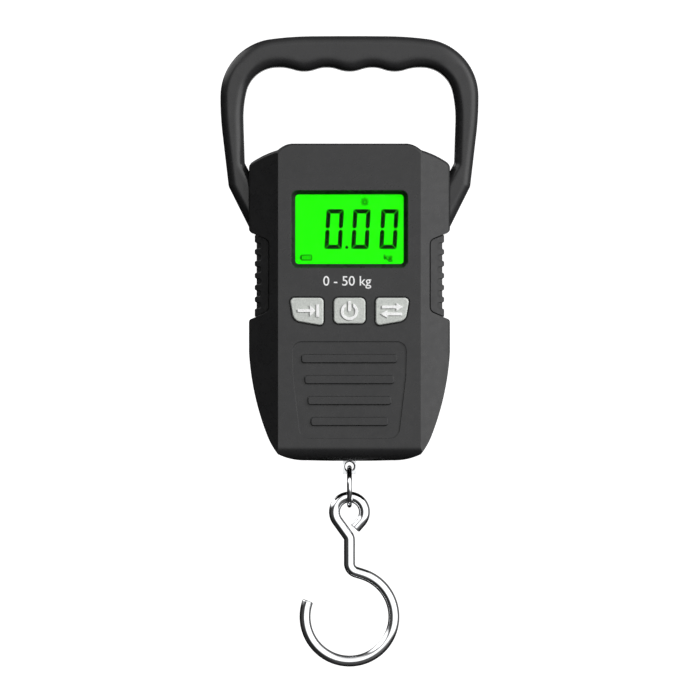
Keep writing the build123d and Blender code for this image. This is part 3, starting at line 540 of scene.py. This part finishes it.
def add_band(mesh, outer, inner, y_back, y_front):
    """A closed flat band between two outlines that have the same number of points."""
    rings = []
    for outline in (outer, inner):
        for depth in (y_front, y_back):
            rings.append([mesh.verts.new((x, depth, z)) for x, z in outline])
    outer_front, outer_back, inner_front, inner_back = rings
    count = len(outer)
    for i in range(count):
        j = (i + 1) % count
        mesh.faces.new((outer_front[i], outer_front[j], inner_front[j], inner_front[i]))
        mesh.faces.new((outer_back[j], outer_back[i], inner_back[i], inner_back[j]))
        mesh.faces.new((outer_front[j], outer_front[i], outer_back[i], outer_back[j]))
        mesh.faces.new((inner_front[i], inner_front[j], inner_back[j], inner_back[i]))


def finish_piece(name, mesh, material):
    """Turns a bmesh into a piece that rides on the housing."""
    bmesh.ops.recalc_face_normals(mesh, faces=mesh.faces)
    data = bpy.data.meshes.new(name)
    mesh.to_mesh(data)
    mesh.free()
    data.materials.append(material)
    piece = bpy.data.objects.new(name, data)
    bpy.context.scene.collection.objects.link(piece)
    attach(piece, "housing")


def box_outline(left, right, low, high):
    return [(left, low), (right, low), (right, high), (left, high)]


def rounded(outline, radius, steps=4):
    """An outline with each corner cut by a short curve of about that radius."""
    made = []
    count = len(outline)
    for i in range(count):
        before = Vector(outline[i - 1])
        corner = Vector(outline[i])
        after = Vector(outline[(i + 1) % count])
        shorter = min((before - corner).length, (after - corner).length)
        reach = min(radius, shorter * LONGEST_CORNER_SHARE)
        start = corner + (before - corner).normalized() * reach
        end = corner + (after - corner).normalized() * reach
        for step in range(steps + 1):
            t = step / steps
            made.append(tuple(start * (1 - t) ** 2 + corner * 2 * t * (1 - t) + end * t**2))
    return made


def circle(x, z, radius, steps=28):
    turns = [2 * math.pi * i / steps for i in range(steps)]
    return [(x + radius * math.cos(turn), z + radius * math.sin(turn)) for turn in turns]


def text_mesh(text, height, bolder):
    """Lettering with capitals of a height, as a bmesh of two flat sides half a metre from the middle."""
    curve = bpy.data.curves.new("lettering", "FONT")
    curve.body = text
    curve.size = height / CAPITALS_PER_FONT_SIZE
    curve.extrude = 0.5
    curve.resolution_u = 6
    curve.offset = bolder
    letters = bpy.data.objects.new("lettering", curve)
    bpy.context.scene.collection.objects.link(letters)
    bpy.context.view_layer.update()
    evaluated = letters.evaluated_get(bpy.context.evaluated_depsgraph_get())
    data = bpy.data.meshes.new_from_object(evaluated)
    mesh = bmesh.new()
    mesh.from_mesh(data)
    bpy.data.objects.remove(letters)
    bpy.data.meshes.remove(data)
    bmesh.ops.remove_doubles(mesh, verts=mesh.verts, dist=height / 1000)
    return mesh


def flat_text(name, text, height, centre, depths, material, bolder=0.0, widen=1.0):
    """Thin lettering between two depths, with its middle at an (x, z) place."""
    y_back, y_front = depths
    mesh = text_mesh(text, height, bolder)
    xs = [vertex.co.x for vertex in mesh.verts]
    middle = (min(xs) + max(xs)) / 2
    for vertex in mesh.verts:
        depth = y_front if vertex.co.z > 0 else y_back
        across = (vertex.co.x - middle) * widen
        vertex.co = (across + centre[0], depth, vertex.co.y - height / 2 + centre[1])
    finish_piece(name, mesh, material)


# ---- display content ----------------------------------------------------------------------------
# Places on the display are (x, z) from the middle of its window.
INK_GAP = 0.02 * MM
INK_SHARE_OF_SPACE = 0.6

DIGIT_HEIGHT = 14.3 * MM
DIGIT_WIDTH = 6.25 * MM
DIGIT_SLANT = 0.8 * MM
DIGIT_BOTTOM = -7.1 * MM
DIGIT_LEFTS = (-9.0 * MM, 0.6 * MM, 10.65 * MM)
POINT_X = -0.95 * MM
POINT_RISE = 0.6 * MM
POINT_RADIUS = 0.58 * MM

SEGMENT = 1.55 * MM
SEGMENT_ROUNDING = 0.12 * MM
CORNER_CUT = 0.45 * MM
CORNER_POINT = 0.16 * MM
MITRE_GAP = 0.09 * MM
TIP_GAP = 0.28 * MM
TIP_LENGTH = 0.6 * MM
TIP_SHARE = 0.28

BATTERY_LEFT = -17.4 * MM
BATTERY_RIGHT = -13.4 * MM
BATTERY_LOW = -11.2 * MM
BATTERY_HIGH = -9.1 * MM
BATTERY_LINE = 0.4 * MM
BATTERY_ROUNDING = 0.3 * MM
BATTERY_INNER_ROUNDING = 0.12 * MM
POLE_REACH = 0.42 * MM
POLE_GAP = 0.08 * MM
POLE_INSET = 0.5 * MM
POLE_ROUNDING = 0.1 * MM
CHARGE_BARS = 3
CHARGE_START = 0.85 * MM
CHARGE_PITCH = 0.98 * MM
CHARGE_WIDTH = 0.34 * MM
CHARGE_INSET = 0.75 * MM
CHARGE_ROUNDING = 0.08 * MM

SUN_PLACE = (5.5 * MM, 9.8 * MM)
SUN_RADIUS = 0.92 * MM
SUN_HOLE_RADIUS = 0.5 * MM
RAY_COUNT = 8
RAY_START = 1.05 * MM
RAY_END = 1.65 * MM
RAY_HALF_WIDTH = 0.2 * MM

UNIT_PLACE = (13.9 * MM, -9.85 * MM)
UNIT_HEIGHT = 2.2 * MM
UNIT_BOLDER = 0.05 * MM
UNIT_WIDEN = 1.22


def on_display(places):
    """Places counted from the middle of the display's window, moved into the frame."""
    low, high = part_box("display_window")
    middle = (low + high) / 2
    return [(x + middle.x, z + middle.z) for x, z in places]


def ink_depths():
    """Depths of the display's segments: a film between the glass and the window."""
    glass_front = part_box("lcd_glass")[0].y
    window_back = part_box("display_window")[1].y
    return glass_front + INK_GAP, glass_front + (window_back - glass_front) * INK_SHARE_OF_SPACE


def add_ink(mesh, outline):
    """One mark on the display."""
    add_prism(mesh, on_display(outline), *ink_depths())


def add_ink_band(mesh, outer, inner):
    """One hollow mark on the display."""
    add_band(mesh, on_display(outer), on_display(inner), *ink_depths())


def zero_segments():
    """The six lit segments of a nought, upright, with its lower left corner at (0, 0)."""
    width, height, middle = DIGIT_WIDTH, DIGIT_HEIGHT, DIGIT_HEIGHT / 2
    bottom_bar = [
        (CORNER_CUT, 0),
        (width - CORNER_CUT, 0),
        (width - CORNER_POINT - MITRE_GAP, CORNER_POINT),
        (width - SEGMENT - MITRE_GAP, SEGMENT),
        (SEGMENT + MITRE_GAP, SEGMENT),
        (CORNER_POINT + MITRE_GAP, CORNER_POINT),
    ]
    low_left = [
        (0, CORNER_CUT),
        (CORNER_POINT, CORNER_POINT + MITRE_GAP),
        (SEGMENT, SEGMENT + MITRE_GAP),
        (SEGMENT, middle - TIP_GAP - TIP_LENGTH),
        (SEGMENT * (1 - TIP_SHARE), middle - TIP_GAP),
        (SEGMENT * TIP_SHARE, middle - TIP_GAP),
        (0, middle - TIP_GAP - TIP_LENGTH),
    ]
    low_right = [(width - x, z) for x, z in reversed(low_left)]
    lower = [bottom_bar, low_left, low_right]
    upper = [[(x, height - z) for x, z in reversed(outline)] for outline in lower]
    return lower + upper


def digits(material):
    """Three slanted noughts and the decimal point."""
    mesh = bmesh.new()
    for left in DIGIT_LEFTS:
        for outline in zero_segments():
            slanted = [(left + x + DIGIT_SLANT * z / DIGIT_HEIGHT, DIGIT_BOTTOM + z) for x, z in outline]
            add_ink(mesh, rounded(slanted, SEGMENT_ROUNDING))
    add_ink(mesh, circle(POINT_X, DIGIT_BOTTOM + POINT_RISE, POINT_RADIUS))
    finish_piece("display_digits", mesh, material)


def battery_icon(material):
    """Battery outline with its pole on the left and three charge bars."""
    left, right, low, high = BATTERY_LEFT, BATTERY_RIGHT, BATTERY_LOW, BATTERY_HIGH
    line = BATTERY_LINE
    mesh = bmesh.new()
    outer = box_outline(left, right, low, high)
    inner = box_outline(left + line, right - line, low + line, high - line)
    add_ink_band(mesh, rounded(outer, BATTERY_ROUNDING), rounded(inner, BATTERY_INNER_ROUNDING))
    pole = box_outline(left - POLE_REACH, left - POLE_GAP, low + POLE_INSET, high - POLE_INSET)
    add_ink(mesh, rounded(pole, POLE_ROUNDING))
    for index in range(CHARGE_BARS):
        start = left + CHARGE_START + index * CHARGE_PITCH
        bar = box_outline(start, start + CHARGE_WIDTH, low + CHARGE_INSET, high - CHARGE_INSET)
        add_ink(mesh, rounded(bar, CHARGE_ROUNDING))
    finish_piece("display_battery_icon", mesh, material)


def light_icon(material):
    """Small sun that shows the back light is on."""
    mesh = bmesh.new()
    add_ink_band(mesh, circle(*SUN_PLACE, SUN_RADIUS), circle(*SUN_PLACE, SUN_HOLE_RADIUS))
    centre = Vector(SUN_PLACE)
    for index in range(RAY_COUNT):
        turn = 2 * math.pi * index / RAY_COUNT
        out = Vector((math.cos(turn), math.sin(turn)))
        side = Vector((-out.y, out.x)) * RAY_HALF_WIDTH
        near = centre + out * RAY_START
        far = centre + out * RAY_END
        ray = [near - side, far - side, far + side, near + side]
        add_ink(mesh, ray)
    finish_piece("display_light_icon", mesh, material)


def display_content():
    """Everything that the display shows."""
    ink = lcd_ink()
    digits(ink)
    battery_icon(ink)
    light_icon(ink)
    centre = on_display([UNIT_PLACE])[0]
    flat_text(
        "display_unit", "kg", UNIT_HEIGHT, centre, ink_depths(), ink,
        bolder=UNIT_BOLDER, widen=UNIT_WIDEN,
    )


# ---- print on the front -------------------------------------------------------------------------
# (x, z) from the middle of the display's window
RANGE_PLACE = (-0.8 * MM, -18.4 * MM)
RANGE_HEIGHT = 3.55 * MM
RANGE_BOLDER = 0.03 * MM
# the raised bars stand proud of the front face; the print starts in that face and stands proud of it
BARS_PROUD = 0.3 * MM
PRINT_SUNK = 0.05 * MM
PRINT_PROUD = 0.06 * MM


def printed_range():
    """White weighing range under the display."""
    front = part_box("front_cover")[0].y + BARS_PROUD
    depths = (front + PRINT_SUNK, front - PRINT_PROUD)
    centre = on_display([RANGE_PLACE])[0]
    flat_text(
        "printed_range", "0 - 50 kg", RANGE_HEIGHT, centre, depths, print_white(),
        bolder=RANGE_BOLDER,
    )


# ---- dark seals of the side grips, painted shade in their gaps ----------------------------------
# A grip leaves a gap to the covers at its sloping ends. The slopes are the rise of its top end and
# of its bottom end for each metre outwards.
GRIP_GAP = 0.3 * MM
GRIP_END_SLOPES = (0.41137, -0.41965)
SEAL_INSETS = (3.0 * MM, 0.3 * MM)
SEAL_FRONT_Y = -8.0 * MM
SEAL_BACK_Y = 4.0 * MM
SEAL_OVERLAP = 0.05 * MM


def seal_edge(corner_x, corner_z, slope, reach):
    """Line along a sloping end of the right grip, moved off the grip by a reach in metres."""
    lifted_z = corner_z + reach * math.sqrt(1 + slope**2)
    return [(corner_x - inset, lifted_z - slope * inset) for inset in SEAL_INSETS]


def seal_outline(corner_x, corner_z, slope, outwards):
    """Strip across the gap at one sloping end of the right grip, whose outer corner is given."""
    on_cover = seal_edge(corner_x, corner_z, slope, outwards * (GRIP_GAP + SEAL_OVERLAP))
    on_grip = seal_edge(corner_x, corner_z, slope, -outwards * SEAL_OVERLAP)
    return on_cover + on_grip[::-1]


def grip_gap_shade_strips(material):
    """Thin dark strips that close the gaps at the ends of the side grips and paint shade into them."""
    low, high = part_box("right_side_grip")
    top_slope, bottom_slope = GRIP_END_SLOPES
    mesh = bmesh.new()
    for corner_z, slope, outwards in ((high.z, top_slope, 1), (low.z, bottom_slope, -1)):
        outline = seal_outline(high.x, corner_z, slope, outwards)
        for side in (1, -1):
            # painted shade: dark strips set in the gaps, where only shade would be
            add_prism(mesh, [(side * x, z) for x, z in outline], SEAL_BACK_Y, SEAL_FRONT_Y)
    finish_piece("grip_gap_shade_strips", mesh, material)


# ---- backdrop -----------------------------------------------------------------------------------
BACKDROP_HALF_WIDTH = 8.0
BACKDROP_FRONT_Y = -6.0
BACKDROP_WALL_Y = 4.0
BACKDROP_FLOOR_Z = -3.5
BACKDROP_TOP_Z = 5.0
BACKDROP_BEND = 1.5
BACKDROP_BEND_STEPS = 12
PAPER_TONE = 0.5
PAPER_TONE_SPREAD = 0.01
PAPER_GLOW = 0.9


def backdrop_profile():
    """(y, z) points of a floor that curves up into a wall."""
    bend_y = BACKDROP_WALL_Y - BACKDROP_BEND
    bend_z = BACKDROP_FLOOR_Z + BACKDROP_BEND
    profile = [(BACKDROP_FRONT_Y, BACKDROP_FLOOR_Z), (bend_y, BACKDROP_FLOOR_Z)]
    for step in range(1, BACKDROP_BEND_STEPS + 1):
        turn = math.pi / 2 * step / BACKDROP_BEND_STEPS
        profile.append((bend_y + BACKDROP_BEND * math.sin(turn), bend_z - BACKDROP_BEND * math.cos(turn)))
    profile.append((BACKDROP_WALL_Y, BACKDROP_TOP_Z))
    return profile


def backdrop_paper():
    material = new_material("backdrop_paper", grey(PAPER_TONE), 0.9, specular=0.0)
    sockets = shader_of(material).inputs
    sockets["Emission Color"].default_value = WHITE
    sockets["Emission Strength"].default_value = PAPER_GLOW
    darker = grey(PAPER_TONE - PAPER_TONE_SPREAD)
    lighter = grey(PAPER_TONE + PAPER_TONE_SPREAD)
    vary_colour(material, darker, lighter, 50 * MM)
    return material


def backdrop():
    """Pale sheet far from the scale, seen by the camera only."""
    profile = backdrop_profile()
    mesh = bmesh.new()
    sides = (-BACKDROP_HALF_WIDTH, BACKDROP_HALF_WIDTH)
    left, right = [[mesh.verts.new((x, y, z)) for y, z in profile] for x in sides]
    for i in range(len(profile) - 1):
        mesh.faces.new((left[i], right[i], right[i + 1], left[i + 1]))
    data = bpy.data.meshes.new("backdrop")
    mesh.to_mesh(data)
    mesh.free()
    data.materials.append(backdrop_paper())
    sheet = bpy.data.objects.new("backdrop", data)
    bpy.context.scene.collection.objects.link(sheet)
    sheet.visible_diffuse = False
    sheet.visible_glossy = False
    sheet.visible_transmission = False
    sheet.visible_shadow = False


# ---- light --------------------------------------------------------------------------------------
# How bright the studio is in each direction: along X, along Z and along Y, each from -1 to 1.
LIGHT_BY_SIDE = [(-1.0, 0.02), (-0.46, 0.02), (-0.14, 0.74), (0.18, 0.8), (0.5, 1.5)]
LIGHT_BY_HEIGHT = [(-1.0, 0.03), (-0.45, 0.04), (-0.06, 0.96), (0.3, 1.0), (0.6, 0.72), (0.95, 0.4)]
LIGHT_BY_DEPTH = [(-1.0, 1.0), (-0.5, 1.0), (-0.2, 0.3), (0.1, 0.04), (0.9, 0.03), (1.0, 0.7)]
TOP_PANEL = [(-1.0, 0.01), (0.5, 0.01), (0.8, 0.05)]
TOP_BY_DEPTH = [(-1.0, 1.0), (0.15, 1.0), (0.5, 0.1)]
UPPER_LEFT_BY_SIDE = [(-1.0, 0.9), (-0.6, 0.9), (-0.42, 0.0)]
UPPER_LEFT_BY_HEIGHT = [(-1.0, 0.0), (0.2, 0.0), (0.42, 1.0)]
SKY_STRENGTH = 2.2
# the share of the sky that lights surfaces evenly; the rest only shows in reflections
SKY_SHARE_OF_EVEN_LIGHT = 0.04

# name, place, side length in metres and power in watts of each lamp
LAMPS = (
    ("key", (2.2, -1.4, 1.15), 0.8, 116.0),
    ("rear_fill", (-0.9, 2.3, 0.7), 1.6, 80.0),
)


def by_direction(tree, value, stops):
    """Brightness along one part of the direction, from (value, level) stops."""
    share = remap(tree, value, start=-1.0)
    return ramp(tree, share, [((place + 1) / 2, grey(level)) for place, level in stops], "EASE")


def sky_brightness(tree):
    """Bright on the right, in front and above, and dark on the left, below and behind."""
    directions = parts_of_place(tree, "Generated")
    along_x, along_y, along_z = (directions[axis] for axis in "XYZ")
    by_side = by_direction(tree, along_x, LIGHT_BY_SIDE)
    by_height = by_direction(tree, along_z, LIGHT_BY_HEIGHT)
    by_depth = by_direction(tree, along_y, LIGHT_BY_DEPTH)
    around = combine(tree, "MULTIPLY", combine(tree, "MULTIPLY", by_side, by_height), by_depth)
    top_panel = by_direction(tree, along_z, TOP_PANEL)
    above = combine(tree, "MULTIPLY", top_panel, by_direction(tree, along_y, TOP_BY_DEPTH))
    left_part = by_direction(tree, along_x, UPPER_LEFT_BY_SIDE)
    upper_part = by_direction(tree, along_z, UPPER_LEFT_BY_HEIGHT)
    upper_left = combine(tree, "MULTIPLY", left_part, upper_part)
    return combine(tree, "ADD", combine(tree, "ADD", around, above), upper_left)


def studio_world():
    """The soft sky that the scale mirrors. The camera itself sees plain white paper."""
    world = bpy.data.worlds.new("studio")
    bpy.context.scene.world = world
    world.use_nodes = True
    tree = world.node_tree
    path = tree.nodes.new("ShaderNodeLightPath")
    dimmed = SKY_STRENGTH * SKY_SHARE_OF_EVEN_LIGHT
    strength = remap(tree, path.outputs["Is Diffuse Ray"], low=SKY_STRENGTH, high=dimmed)
    sky = tree.nodes["Background"]
    paper = tree.nodes.new("ShaderNodeBackground")
    paper.inputs["Strength"].default_value = 1.0
    paper.inputs["Color"].default_value = WHITE
    mix = tree.nodes.new("ShaderNodeMixShader")
    links = tree.links
    links.new(sky_brightness(tree), sky.inputs["Color"])
    links.new(strength, sky.inputs["Strength"])
    links.new(path.outputs["Is Camera Ray"], mix.inputs["Fac"])
    links.new(sky.outputs["Background"], mix.inputs[1])
    links.new(paper.outputs["Background"], mix.inputs[2])
    links.new(mix.outputs["Shader"], tree.nodes["World Output"].inputs["Surface"])


def soft_box(name, place, target, size, power):
    """A square area light that neither the camera nor a reflection shows."""
    light = bpy.data.lights.new(name, "AREA")
    light.size = size
    light.energy = power
    lamp = bpy.data.objects.new(name, light)
    bpy.context.scene.collection.objects.link(lamp)
    lamp.location = place
    lamp.rotation_mode = "QUATERNION"
    lamp.rotation_quaternion = (Vector(target) - Vector(place)).to_track_quat("-Z", "Y")
    lamp.visible_camera = False
    lamp.visible_glossy = False


# ---- camera -------------------------------------------------------------------------------------
# the view is this wide at the plane of this depth
VIEW_WIDTH = 0.252
VIEW_PLANE_Y = -1 * MM
CAMERA_DISTANCE = 3.0
SENSOR_WIDTH = 36.0
CLIP_END = 20.0
# the middle of the view, counted from the middle of the whole scale
VIEW_OFFSET = (0.2 * MM, 0.5545 * MM)


def camera(middle):
    """Straight on to the front, from far enough away that the sides hardly show."""
    data = bpy.data.cameras.new("front_view")
    data.sensor_width = SENSOR_WIDTH
    data.lens = SENSOR_WIDTH * (CAMERA_DISTANCE + VIEW_PLANE_Y) / VIEW_WIDTH
    data.clip_end = CLIP_END
    eye = bpy.data.objects.new("front_view", data)
    bpy.context.scene.collection.objects.link(eye)
    eye.location = (middle.x + VIEW_OFFSET[0], -CAMERA_DISTANCE, middle.z + VIEW_OFFSET[1])
    eye.rotation_euler = (math.pi / 2, 0.0, 0.0)
    bpy.context.scene.camera = eye


def studio():
    """Backdrop, light and camera around the scale."""
    middle = (cad_low + cad_high) / 2
    backdrop()
    studio_world()
    for name, place, size, power in LAMPS:
        soft_box(name, place, middle, size, power)
    bpy.context.scene.view_settings.view_transform = "Standard"
    camera(middle)


materials = all_materials()
dress_cad_nodes(materials)
display_content()
printed_range()
grip_gap_shade_strips(materials["grip_rubber"])
studio()
